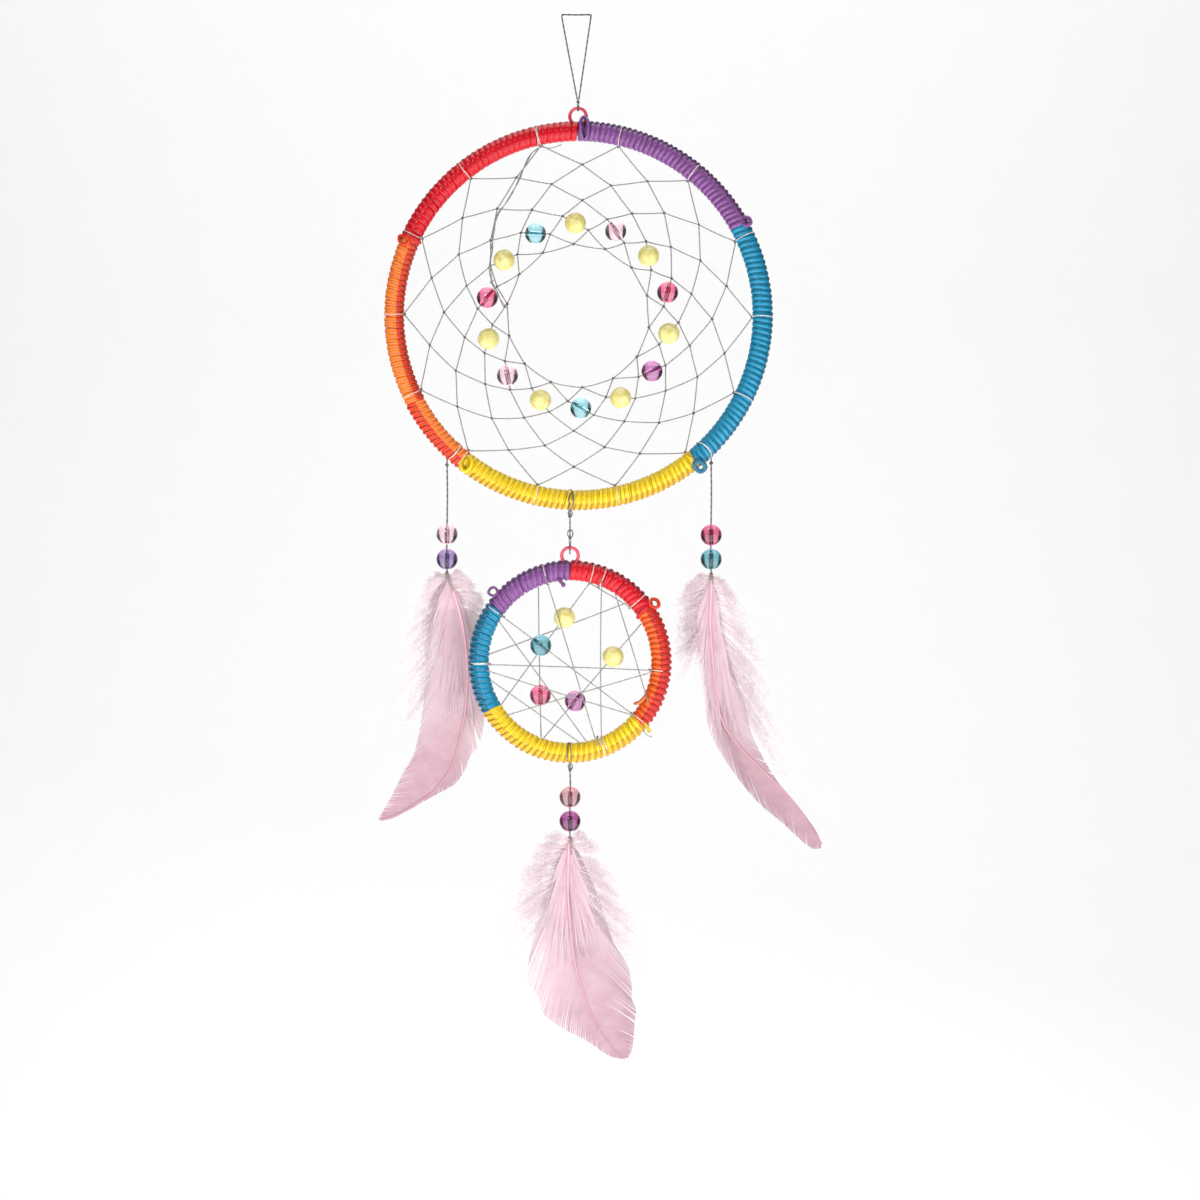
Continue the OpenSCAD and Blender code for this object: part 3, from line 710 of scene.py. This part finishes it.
# The angle and the depth (mm) at which each strand leaves the hoop, and at which it comes back
STRANDS = [
    (337, 1.5, 201, 1.5), (344, -4, 162, -4), (21, -4, 159, -4), (14, -1.5, 236, 4),
    (14, -1.5, 48, -1.5), (34, -1.5, 118, -4), (46, 4, 273, 4), (62, 1.5, 199, 1.5),
    (304, -3.5, 130, -3.5), (300, -2.5, 168, -2.5), (268, -3, 96, -3), (264, -3, 130, -3),
    (257, -2, 173, -2), (230, -3, 97, -3),
]
small_net = Shape()
for a, ya, b, yb in STRANDS:
    ends_at = []
    for angle, y in ((a, ya), (b, yb)):
        r = SMALL.r / MM - math.sqrt(max(0, (SMALL.t / MM + 0.25) ** 2 - y * y))
        ends_at.append(SMALL.at(r, angle, y))
    strand(small_net, *ends_at, 0.0, 0.25 * MM)
for a in (14, 21, 48, 96, 130, 160, 268, 304, 344):
    wrap_turn(small_net, SMALL, a, RNG.uniform(-0.8, 0.8), material=1)
    knot(small_net, SMALL.at((SMALL.r - SMALL.t) / MM - 0.3, a), 1.3 * MM, 0.45 * MM)
wrap_turn(small_net, SMALL, 269.6, 0.7, material=1)
wrap_turn(small_net, SMALL, 157.6, 0.7, material=1)
whisker = [SMALL.at(38.9, 133.4, -1.5), SMALL.at(41.0, 133.6, -1.7), SMALL.at(43.0, 132.6, -1.4)]
small_net.tube(spline(whisker, 14), 0.22 * MM, plies=2)
small_net.make("small_hoop_threads", [GREY, LIT_PALE_THREAD], BODY["small_thread"], ["small_thread"])


# ---- Ties, knots and hitches ----


def eyelet(shape, at, wide, tall):
    """A small open loop of thread, upright round a point."""
    t = full_turn(26)
    line = np.stack([wide / 2 * np.cos(t), 0.3 * MM * np.sin(2 * t), tall / 2 * np.sin(t)], -1)
    shape.tube(at + line, 0.26 * MM, closed=True, plies=2)


def knot_piece(node_name):
    shape = Shape()
    at = centre(node_name)
    for _ in range(2):
        knot(shape, at, 1.7 * MM, 0.5 * MM)
    if node_name in ("link_knot", "centre_knot"):  # the bight that is drawn through below the hoop
        eyelet(shape, at + [0.1 * MM, 0, 1.2 * MM], 1.5 * MM, 2.4 * MM)
    shape.make(node_name + "_coil", [DARK], BODY[node_name], [node_name])


for name in ("hanging", "link", *SIDES, *(f"{side}_quill" for side in SIDES)):
    knot_piece(f"{name}_knot")


def tie_angle(hoop, x):
    """The angle on the hoop's lower half that lies at x."""
    return 180 - math.degrees(math.asin((x - hoop.c[0]) / (hoop.r + hoop.t)))


def tie(shape, hoop, a, knot_name, turns, material=0):
    """Turns of thread over the hoop near an angle, and a thread from them down to a knot."""
    for shift, lean in turns:
        wrap_turn(shape, hoop, a + shift, lean, material)
    drop = np.linspace(hoop.skin(a, 0, hoop.t), centre(knot_name) - 0.5 * DOWN, 8)
    shape.tube(drop, 0.3 * MM, plies=2)


ties = Shape()
for name in ("left_knot", "right_knot", "link_knot"):
    a = tie_angle(BIG, centre(name)[0])
    tie(ties, BIG, a, name, ((0, 0.9), (0.25, 1.3)), int(name != "link_knot"))
# the link's spare end is hooked over the yellow cord
hook = [BIG.skin(a + across, v, BIG.t + 0.35 * MM) for across, v in
        ((0.5, -28), (0.2, -60), (0.55, -90), (0.1, -118), (-0.75, -124), (-0.9, -104), (-0.45, -88))]
ties.tube(spline(hook, 30), 0.27 * MM, plies=2)
ties.make("hoop_tie_threads", [DARK, LIT_PALE_THREAD], BODY["hoop_ties"], ["hoop_ties"])

small_ties = Shape()
tie(small_ties, SMALL, 180, "centre_knot", ((0, 0.6), (1, -0.6)))
small_ties.make("small_tie_thread", [DARK], BODY["small_tie"], ["small_tie"])


def hitch(node_name):
    """Thread passed through an eye and up to the knot above it."""
    shape = Shape()
    lo, hi = corners(node_name)
    mid = (lo + hi) / 2
    ring = (hi[1] - lo[1]) / 2 - THREAD / 2
    bar = np.array([mid[0], 0, lo[2] + ring + THREAD / 2])
    t = full_turn(26)
    for lean in (-0.22, 0.22):
        line = bar + np.stack([lean * MM * np.cos(t), ring * np.sin(t), ring * np.cos(t)], -1)
        shape.tube(line, 0.24 * MM, closed=True, plies=2)
    for side in (-1, 1):
        leg = [bar + [side * 0.25 * MM, 0, ring], np.array([mid[0] + side * 0.3 * MM, 0, hi[2]])]
        shape.tube(spline(leg, 6), 0.24 * MM, plies=2)
    if node_name == "link_hitch":  # its spare end stays inside the eye
        drop = np.array([(0.1, -0.5, -0.4), (-0.15, -0.6, -1.6), (0.05, -0.5, -2.7)])
        shape.tube(spline(bar + drop * MM, 10), 0.26 * MM, plies=2)
    shape.make(node_name + "_turns", [DARK], BODY[node_name], [node_name])


hitch("eye_hitch")
hitch("link_hitch")

lo, hi = corners("link_thread")
link_piece = Shape()
mid = (lo + hi) / 2
low_knot = np.array([mid[0], 0, lo[2] + (hi[0] - lo[0]) / 2])
link_piece.tube(np.linspace([mid[0], 0, hi[2]], low_knot, 24), 0.3 * MM, sides=8, plies=2)
eyelet(link_piece, low_knot + [0.1 * MM, 0, 1.7 * MM], 2.0 * MM, 3.0 * MM)
knot(link_piece, low_knot, 1.7 * MM, 0.5 * MM)
knot(link_piece, low_knot, 1.5 * MM, 0.5 * MM)
link_piece.make("link_strand", [DARK], BODY["link_thread"], ["link_thread"])


# ---- Beads ----


def frame_radius(node_name, at):
    """How far the CAD node reaches from a point."""
    co = np.array([v.co for v in frame["nodes"][node_name].data.vertices])
    return float(np.linalg.norm(co - at, axis=1).max())


def bead(name, node_name, material, axis):
    """A round bead whose bore has softly rounded ends, turned to lie along its thread."""
    lo, hi = corners(node_name)
    at = (lo + hi) / 2
    r = frame_radius(node_name, at)
    bore, round_off = 0.65 * MM, 0.22 * MM
    first = math.asin((bore + round_off) / r)
    t = np.linspace(first, math.pi - first, 30)
    outside = np.stack([r * np.sin(t), r * np.cos(t)], -1)
    h = r * math.cos(first) - round_off * 0.8
    inside = np.stack([np.full(9, bore), np.linspace(-h, h, 9)], -1)
    profile = np.concatenate([outside, inside])
    around = full_turn(48)
    out, up = profile[:, None, 0], profile[:, None, 1]
    p = np.stack(np.broadcast_arrays(out * np.cos(around), out * np.sin(around), up), -1)
    turn = np.array(Vector(axis).to_track_quat("Z", "Y").to_matrix())
    shape = Shape()
    shape.grid((p @ turn.T + at)[:, ::-1], closed_u=True, closed_v=True)
    shape.make(name, [material], BODY[node_name], [node_name])


for i, tinted in enumerate([PALE_PINK, PINK, VIOLET, TEAL, PALE_PINK, PINK, TEAL]):
    for k, material in ((2 * i + 1, MILKY), (2 * i + 2, tinted)):
        bead(f"net_bead_{k:02d}", f"net_bead_{k}", material, JOINTS[f"net_bead_{k}_spin"]["axis"])
for i, material in enumerate([MILKY, SEA, MILKY, PINK, VIOLET], 1):
    bead(f"hoop_bead_{i}", f"small_bead_{i}", material, JOINTS[f"small_bead_{i}_spin"]["axis"])
for name, material in (
    ("left_bead_top", PALE_PINK), ("left_bead_low", LILAC), ("right_bead_top", CERISE),
    ("right_bead_low", SEA), ("centre_bead_top", ROSE), ("centre_bead_low", PLUM),
):
    bead(name + "_round", name, material, (0, 0, 1))

for name in ("big_ring", "small_ring"):
    obj = frame["nodes"][name]
    obj.data.materials.clear()
    obj.data.materials.append(PLASTIC)


# ---- Feathers ----

# Sideways and downwards from the quill knot, in mm: the shaft, the vane's two edges, and how far
# the down reaches beyond them. Splits: side, share of the edge and gap (mm) where the vane parts.
# Gather: share of the shaft that each side's down grows from. Sweep: degrees between barbs and shaft.
# Deeper: how much darker the vane is. Behind: how far back (mm) it lies, clear of the small hoop
FEATHERS = {}
FEATHERS["left"] = dict(
    shaft=[(0, 0), (0.7, 2.5), (3.5, 10.7), (5.5, 18.3), (6.9, 27.9), (7.5, 36.2), (7.2, 47.2),
           (5.9, 58.2), (3.8, 67.2), (0.7, 76.1), (-5.5, 84.4), (-14.4, 90.6), (-22, 94.4), (-27, 95.8)],
    left=[(-0.5, 2), (-4.9, 7), (-8, 15), (-9.4, 24), (-9.6, 33.4), (-9.2, 43.1), (-10.3, 55.5),
          (-13.1, 69.3), (-17.9, 78.2), (-22, 86.5), (-26, 93.5), (-27.2, 95.8)],
    right=[(0.8, 2), (5, 7.5), (8.6, 14), (10.3, 22.4), (11.7, 33.4), (13.8, 45.8), (14.1, 54.1),
           (13.4, 61), (11.7, 66.5), (8.4, 71.3), (6.6, 76.1), (2.8, 81.6), (-2.7, 84.9),
           (-8.9, 88.3), (-16.5, 92.6), (-22, 95.2), (-27, 96.2)],
    down_left=[(-4.8, 0.5), (-9.6, 7), (-13.8, 16), (-15.5, 25.9), (-16.5, 36), (-15.8, 46), (-14.8, 58)],
    down_right=[(3.5, -1), (7.6, 2.2), (11, 7), (12.6, 12), (12.6, 20), (12.6, 28)],
    splits=((-1, 0.45, 0.6), (-1, 0.6, 0.5), (1, 0.57, 1.2)), gather=(0.5, 0.34), sweep=30,
    deeper=0.1, behind=0.9)
FEATHERS["right"] = dict(
    shaft=[(0, 0), (0.2, 3.4), (-0.2, 16.7), (0.2, 25.6), (1.1, 35.9), (2, 44.8), (4.2, 55.8),
           (9.4, 64.7), (19, 75), (29.3, 84.6), (39.7, 97.9), (43.3, 105.3)],
    left=[(-0.5, 2), (-4.5, 6), (-7.4, 12), (-8.3, 18.9), (-7.6, 30), (-4.9, 37.4), (-2.6, 47.7),
          (-0.2, 61), (7.2, 74.3), (17.5, 87.5), (27.8, 96.4), (38.2, 105.6), (43.2, 106.2)],
    right=[(0.5, 2), (3, 9), (4.8, 16.7), (6.9, 27.8), (10.1, 40.3), (13.5, 50.7), (15.7, 61),
           (20.5, 71.3), (26.4, 80.9), (33.8, 89.8), (40.4, 100.1), (43.9, 105.3)],
    down_left=[(-3.9, 0.5), (-9, 5), (-11.8, 11), (-12.2, 19), (-11.6, 30), (-9.4, 39)],
    down_right=[(4.2, 2), (12.4, 13), (16, 24.1), (18.5, 35), (20.7, 44), (23.5, 55), (26, 68), (28, 80)],
    splits=((1, 0.42, 1.6), (-1, 0.5, 0.4), (1, 0.7, 0.5)), gather=(0.3, 0.62), sweep=27,
    deeper=0.26, behind=0.0)
FEATHERS["centre"] = dict(
    shaft=[(0, 0), (-0.4, 2.5), (-0.6, 8.6), (-0.8, 18.9), (-0.2, 30.7), (0.9, 41.1), (2.7, 52.1),
           (6, 61.7), (9.4, 70.6), (13.4, 77.2), (18.2, 83.1), (21.9, 85)],
    left=[(-0.8, 1.5), (-5.4, 5), (-8.7, 14.5), (-11.7, 29.3), (-15.4, 44), (-16.5, 55.1),
          (-12.4, 61), (-9.8, 68.4), (-1.3, 74.3), (6, 78), (14.9, 83.9), (21.7, 85.5)],
    right=[(0.4, 1.5), (4.4, 7), (7.5, 14.5), (11.2, 23.4), (14.1, 32.2), (17.1, 41.1), (22.2, 49.2),
           (23.8, 57.3), (24, 62.5), (25.4, 66.1), (24.9, 72.1), (24.1, 80.9), (22.1, 85.2)],
    down_left=[(-6.5, -3), (-12.4, 4), (-16.8, 11.6), (-19.8, 19.7), (-22.8, 29.3), (-22.8, 38), (-20, 47)],
    down_right=[(3.1, -3), (10.5, 2), (13.4, 10), (16.4, 18.9), (20.8, 26.3), (24.5, 33.7),
                (25.6, 43), (25, 51)],
    splits=((-1, 0.5, 1.1), (1, 0.55, 0.5)), gather=(0.5, 0.5), sweep=33,
    deeper=0.0, behind=0.0)
EDGES = ((-1, "left"), (1, "right"))

# The quill bindings' spare ends, in mm: start sideways, length, and lean by half way
SPARE_ENDS = {
    "left": [(-0.35, 7.5, 1.2), (0.45, 9.5, 1.2)],
    "right": [(0.3, 4.0, 0.1)],
    "centre": [(0.3, 6.6, 0.1)],
}


def depth_of(node_name, top_z):
    """How deep behind the thread the CAD blade lies, by the distance below the quill knot (mm)."""
    co = np.array([v.co for v in frame["nodes"][node_name].data.vertices])
    down_by = np.round((top_z - co[:, 2]) / MM, 1)
    rows = np.unique(down_by)
    deep = np.array([co[down_by == d, 1].mean() / MM for d in rows])
    return lambda d: np.interp(d, rows, deep)


def fan(root, tip, tangent, bulge, rows):
    """The middle lines of barbs that leave the shaft and bend down to their tips."""
    size = np.linalg.norm(tip - root, axis=1)[:, None]
    mid = (root + tip) / 2 - bulge * size * tangent
    s = np.linspace(0, 1, rows)[None, :, None]
    line = (1 - s) ** 2 * root[:, None] + 2 * s * (1 - s) * mid[:, None] + s**2 * tip[:, None]
    flat = unit(np.gradient(line, axis=1), 1e-9)
    across = np.stack([flat[..., 1], -flat[..., 0]], -1)
    return line, flat, across, s[..., 0]


def on(curve, t):
    """Points of a curve at shares of its length."""
    return sample(np.clip(t, 0, 1) * (len(curve) - 1), np.arange(len(curve)), curve)


def ramp(value, start, over):
    """0 up to a start, rising to 1 over a distance."""
    return np.clip((value - start) / over, 0, 1)


class Feather:
    """One feather's outline, and where its points lie in the scene."""

    def __init__(self, side):
        self.side, self.data = side, FEATHERS[side]
        self.node_name = f"{side}_feather"
        self.origin = centre(f"{side}_quill_knot")
        self.deep = depth_of(self.node_name, self.origin[2])
        self.shaft = spline(self.data["shaft"], 400)
        self.tangent = unit(np.gradient(self.shaft, axis=0))

    def lift(self, xz, y=0.0):
        """Points from sideways and downwards distances (mm)."""
        xz = np.asarray(xz, float)
        y = self.deep(xz[..., 1]) + self.data["behind"] * ramp(xz[..., 1], 4, 10) + y
        return self.origin + np.stack([xz[..., 0], y, -xz[..., 1]], -1) * MM

    def ribbons(self, shape, line, across, half, y, twist, tint, material=0):
        """Flat barbs on their middle lines; twist is how far their two edges differ in depth."""
        wide = across * half[..., None]
        edges = [self.lift(line - wide, y - twist), self.lift(line + wide, y + twist)]
        shape.many(np.stack(edges, 2), tint, material)

    def make(self, shape, part, materials, replaces=()):
        shape.make(f"{self.side}_{part}", materials, BODY[self.node_name], replaces)


def vane(f):
    shape = Shape()
    n = 260  # barbs on each side
    u = np.linspace(0.07, 0.995, n)  # where along the edge each ends
    for sign, edge_name in EDGES:
        tip = on(spline(f.data[edge_name], 500), u)
        away = np.linalg.norm(tip[:, None] - f.shaft[None], axis=2)
        near, wide = away.argmin(1) / (len(f.shaft) - 1), away.min(1)
        root_t = near - wide / (length(f.shaft) * math.tan(math.radians(f.data["sweep"])))
        # smoothed, and always further down the shaft, so that no two barbs cross
        keys = np.linspace(0, n - 1, 9).astype(int)
        slow = np.maximum.accumulate(np.maximum(root_t[keys], 0.01 + 0.1 * u[keys]))
        slow[-1] = 0.985
        root_t = spline(np.stack([u[keys], slow], -1), 600)
        root_t = np.interp(u, root_t[:, 0], root_t[:, 1])
        root_t = np.maximum.accumulate(np.clip(root_t, 0.008, 0.985))
        root = on(f.shaft, root_t)
        line, flat, across, s = fan(root, tip, on(f.tangent, root_t), 0.13, 15)
        # each wide enough to lap over the next
        half = np.abs((np.gradient(line, axis=0) * across).sum(-1))
        half = np.clip(0.62 * half, 0.05, 0.34) * (1 - 0.35 * s**6)
        # the upper barbs are soft and uneven
        loose = np.clip((0.45 - u) / 0.35, 0, 1)
        shorter = 1 - loose * RNG.uniform(-0.1, 0.5, n)
        line = root[:, None] + (line - root[:, None]) * shorter[:, None, None]
        half = half * (1 - 0.8 * loose[:, None] * s)
        # the barbs part in places, each split a V open to the edge
        along = unit(np.gradient(tip, axis=0), 1e-9)
        part = RNG.normal(size=n) * 0.1
        small = [(at, RNG.uniform(0.1, 0.32)) for at in RNG.uniform(0.15, 0.97, 22)]
        for at, gap in small + [(at, gap) for where, at, gap in f.data["splits"] if where == sign]:
            part += gap * np.sign(u - at) * np.exp(-np.abs(u - at) / (0.012 + 0.02 * gap))
        line = line + (along * part[:, None])[:, None] * (s**2.2)[..., None]
        cup = -0.9 * s**1.5 * np.clip(wide / 14, 0, 1)[:, None]
        rough = RNG.normal(size=(n, 1)) * 0.05 + 0.07 * np.sin(u * 60)[:, None]
        # paler outward, deeper by the quill and towards the feather's tip
        streaks = 0.08 * np.sin(u * 23 + sign)[:, None]
        shade = 0.3 + s * 0.6 + RNG.normal(size=(n, 1)) * 0.05 + streaks
        shade = shade * (0.35 + 0.65 * np.clip(u / 0.3, 0, 1))[:, None] - f.data["deeper"]
        shade = shade - s**1.5 * 0.7 * ramp(u, 0.45, 0.3)[:, None]
        shade = shade - 0.3 * ramp(u, 0.5, 0.4)[:, None]
        shade = 0.25 + 0.75 * np.clip(shade, 0, 1) - 0.25 * ramp(u, 0.55, 0.3)[:, None]
        f.ribbons(shape, line, across, half, cup + rough * s, 0.05, shade[..., None])
    f.make(shape, "feather_vane", [VANE], [f.node_name])


def hairs(f, shape, line, flat, across, y):
    """Fine hairs that stand out from the down's barbs."""
    n, each = len(line), 30
    last = line.shape[1] - 1
    at = RNG.uniform(0.4, 1, (n, each)) ** 0.8 * last
    low = np.clip(at.astype(int), 0, last - 1)
    part = (at - low)[..., None]
    pick = np.arange(n)[:, None]
    foot = line[pick, low] * (1 - part) + line[pick, low + 1] * part
    hand = RNG.choice([-1.0, 1.0], (n, each))[..., None]
    go = flat[pick, low] * RNG.uniform(0.2, 0.9, (n, each, 1))
    go = unit(go + across[pick, low] * hand * RNG.uniform(0.6, 1.1, (n, each, 1)))
    reach = RNG.uniform(0.8, 2.6, (n, each, 1)) * (1.1 - 0.4 * at[..., None] / last)
    y0 = y[pick, low]
    stray = RNG.normal(size=(n, each)) * 0.6
    y1 = y0 + (np.abs(stray) if f.data["behind"] else stray)
    bow = flat[pick, low] * 0.35 - across[pick, low] * hand * 0.1
    points = np.stack([foot, foot + go * reach * 0.55, foot + (go * 0.9 + bow) * reach], 2)
    depth = np.stack([y0, (y0 + y1) / 2, y1], 2).reshape(-1, 3)
    wide = np.stack([go[..., 1], -go[..., 0]], -1).reshape(-1, 1, 2)
    thin = np.broadcast_to(np.array([0.06, 0.045, 0.015]), depth.shape)
    one_each = np.ones((1, 3, 1))
    tint = 0.9 * at.reshape(-1, 1, 1) / last + 0.3 * RNG.uniform(size=(n * each, 1, 1)) * one_each
    f.ribbons(shape, points.reshape(-1, 3, 2), wide * one_each, thin, depth, 0.0, tint)


def fringe(f, shape):
    """The loose down to both sides of the shaft."""
    n = 130
    for name, share in zip(("down_left", "down_right"), f.data["gather"]):
        reach = spline(f.data[name], 200)
        out_t = np.sort(RNG.uniform(0, 1, n))
        root_t = out_t * share * 0.5 + 0.004
        root, tip = on(f.shaft, root_t), on(reach, out_t)
        tip = root + (tip - root) * np.clip(0.93 + RNG.normal(size=n) * 0.17, 0.4, 1.15)[:, None]
        bulge = 0.05 + 0.1 * RNG.uniform(size=(n, 1))
        line, flat, across, s = fan(root, tip, on(f.tangent, root_t), bulge, 20)
        wave = np.sin(s * RNG.uniform(7, 17, (n, 1)) + RNG.uniform(0, 6, (n, 1)))
        line = line + across * (wave * s * RNG.uniform(0.1, 0.45, (n, 1)))[..., None]
        y = (RNG.normal(size=(n, 1)) * 0.8 - 0.1) * s
        if f.data["behind"]:  # clear of the small hoop in front of it
            y = np.abs(y)
        half = 0.18 * (1 - 0.85 * s) * np.ones((n, 1))
        f.ribbons(shape, line, across, half, y, 0.0, (0.1 + s * 0.8)[..., None])
        hairs(f, shape, line, flat, across, y)


def band(f, shape):
    """The smooth band of down that lies along the shaft's upper part."""
    n = 100
    for _, edge_name in EDGES:
        edge = spline(f.data[edge_name], 500)
        u = RNG.uniform(0.1, 0.58, n)
        near = RNG.uniform(0.1, 0.95, (n, 1)) * (1 - 0.5 * u[:, None])
        root_t = u * 0.3 * RNG.uniform(0.5, 1.1, n)
        root = on(f.shaft, root_t)
        tip = on(edge, u) * near + on(f.shaft, u * 0.8) * (1 - near)
        tip = tip + np.array([0.0, 4.0])
        line, flat, across, s = fan(root, tip, on(f.tangent, root_t), 0.1, 16)
        line = line + across * (np.sin(s * 5 + RNG.uniform(0, 6, (n, 1))) * 0.3 * s)[..., None]
        y = -0.25 - 0.5 * np.sin(np.pi * s) * RNG.uniform(0.1, 1, (n, 1))
        half = 0.42 * np.sin(np.pi * np.clip(0.12 + 0.88 * s, 0, 1)) ** 0.8 + 0.02
        tint = np.clip(0.3 * s + 0.2 * near + RNG.normal(size=(n, 1)) * 0.06, 0, 1)
        f.ribbons(shape, line, across, half, y, 0.06, tint[..., None], 1)


def tuft(f, shape):
    """A short tuft round the quill's head."""
    n = 90
    turn = RNG.uniform(-2.6, 2.6, n)
    root = np.stack([RNG.normal(size=n) * 0.3, 1.0 + RNG.uniform(0, 2.5, n)], -1)
    tip = root + np.stack([np.sin(turn), np.cos(turn) * 0.7], -1) * RNG.uniform(1.2, 3.6, (n, 1))
    line, flat, across, s = fan(root, tip, np.array([[0.0, 1.0]]), 0.1, 6)
    half = 0.06 * (1 - 0.7 * s) * np.ones((n, 1))
    y = (RNG.normal(size=(n, 1)) * 0.9 - 0.3) * s
    f.ribbons(shape, line, across, half, y, 0.0, (s * 0.6)[..., None])


def quill(f):
    shape = Shape()
    line = np.concatenate([[(0, -0.4)], f.shaft[8:]])[::6]
    t = np.linspace(0, 1, len(line))
    line = f.lift(line, np.interp(t, [0, 0.06, 0.45, 0.65], [-0.3, -0.9, -0.9, -0.25]))
    shape.tube(line, (0.36 * (1 - t) ** 0.8 + 0.08) * MM, sides=8, tint=t[:, None])
    f.make(shape, "feather_shaft", [SHAFT])


def binding(f):
    """The thread that binds the quill on: three turns and its spare ends."""
    shape = Shape()
    for shift, down_to, lean in SPARE_ENDS[f.side]:
        points = [(shift, 0.3), (shift + lean, down_to * 0.5), (shift + 2 * lean, down_to)]
        shape.tube(spline(f.lift(points, -1.0), 26), 0.24 * MM, plies=2)
    t = full_turn(18)
    turn = np.stack([0.68 * np.cos(t), 0.68 * np.sin(t), 0.14 * np.cos(t)], -1)
    for k in range(3):
        middle = f.lift([(0.05, 1.1 + 0.55 * k)], -0.1)[0]
        shape.tube(middle + turn * MM, 0.22 * MM, closed=True)
    f.make(shape, "quill_binding", [GREY])


def feather(side):
    f = Feather(side)
    vane(f)
    fluff = Shape()
    fringe(f, fluff)
    band(f, fluff)
    tuft(f, fluff)
    f.make(fluff, "feather_down", [FLUFF, VANE])
    quill(f)
    binding(f)


for side in SIDES:
    feather(side)


# ---- Floor, backdrop and light ----


MIDDLE = (0, 0, (CAD_LO[2] + CAD_HI[2]) / 2)


def stage():
    """A floor that bends up into a backdrop, far enough away for the camera to go round."""
    lowest = MIDDLE[2] - 0.7
    highest = lowest + 6.0
    far, near, wide, bend = 1.92, -2.16, 1.1, 0.96
    profile = [(near, lowest), (far - bend, lowest)]
    profile += [
        (far - bend + bend * math.sin(t), lowest + bend - bend * math.cos(t))
        for t in np.linspace(0.05, math.pi / 2, 14)
    ]
    profile += [(far, highest)]
    shape = Shape()
    p = np.array([[(x, y, z) for y, z in profile] for x in (-wide, wide)])
    shape.grid(p[::-1])
    mesh = bpy.data.meshes.new("floor")
    mesh.from_pydata(np.concatenate(shape.v).tolist(), [], shape.f)
    for q in mesh.polygons:
        q.use_smooth = True
    floor = bpy.data.objects.new("floor", mesh)
    bpy.context.scene.collection.objects.link(floor)
    mesh.materials.append(shader("floor", (250, 250, 250), 0.8))


stage()
world = bpy.data.worlds.new("studio")
world.use_nodes = True
sky = world.node_tree
direct = sky.nodes.new("ShaderNodeLightPath")
level = sky.nodes.new("ShaderNodeMapRange")
level.inputs["To Min"].default_value = 0.07  # what lights the scene
level.inputs["To Max"].default_value = 0.96  # what is seen past the backdrop
sky.links.new(direct.outputs["Is Camera Ray"], level.inputs["Value"])
sky.links.new(level.outputs["Result"], sky.nodes["Background"].inputs["Strength"])
sky.nodes["Background"].inputs["Color"].default_value = (1, 1, 1, 1)
bpy.context.scene.world = world
bpy.context.scene.view_settings.view_transform = "Standard"


def lamp(name, at, towards, size, power, seen=True):
    """A square lamp; seen says whether glossy and clear things mirror it."""
    data = bpy.data.lights.new(name, "AREA")
    data.size = size
    data.energy = power
    obj = bpy.data.objects.new(name, data)
    bpy.context.scene.collection.objects.link(obj)
    obj.visible_camera = False
    obj.visible_glossy = obj.visible_transmission = seen
    obj.location = at
    obj.rotation_euler = (Vector(towards) - Vector(at)).to_track_quat("-Z", "Y").to_euler()


lamp("key", (-0.45, -1.15, 0.45), MIDDLE, 0.3, 3.9)
lamp("fill", (0.8, -1.1, -0.2), MIDDLE, 0.6, 1.6)
lamp("wall", (0, 0.29, 2.08), (0, 1.92, -0.92), 2.4, 59.5)
lamp("wall_low", (0, 0.24, -1.16), (0, 1.92, 0.04), 2.4, 42.0)
lamp("back", (0.3, 1.15, 0.45), MIDDLE, 0.8, 8.0, seen=False)
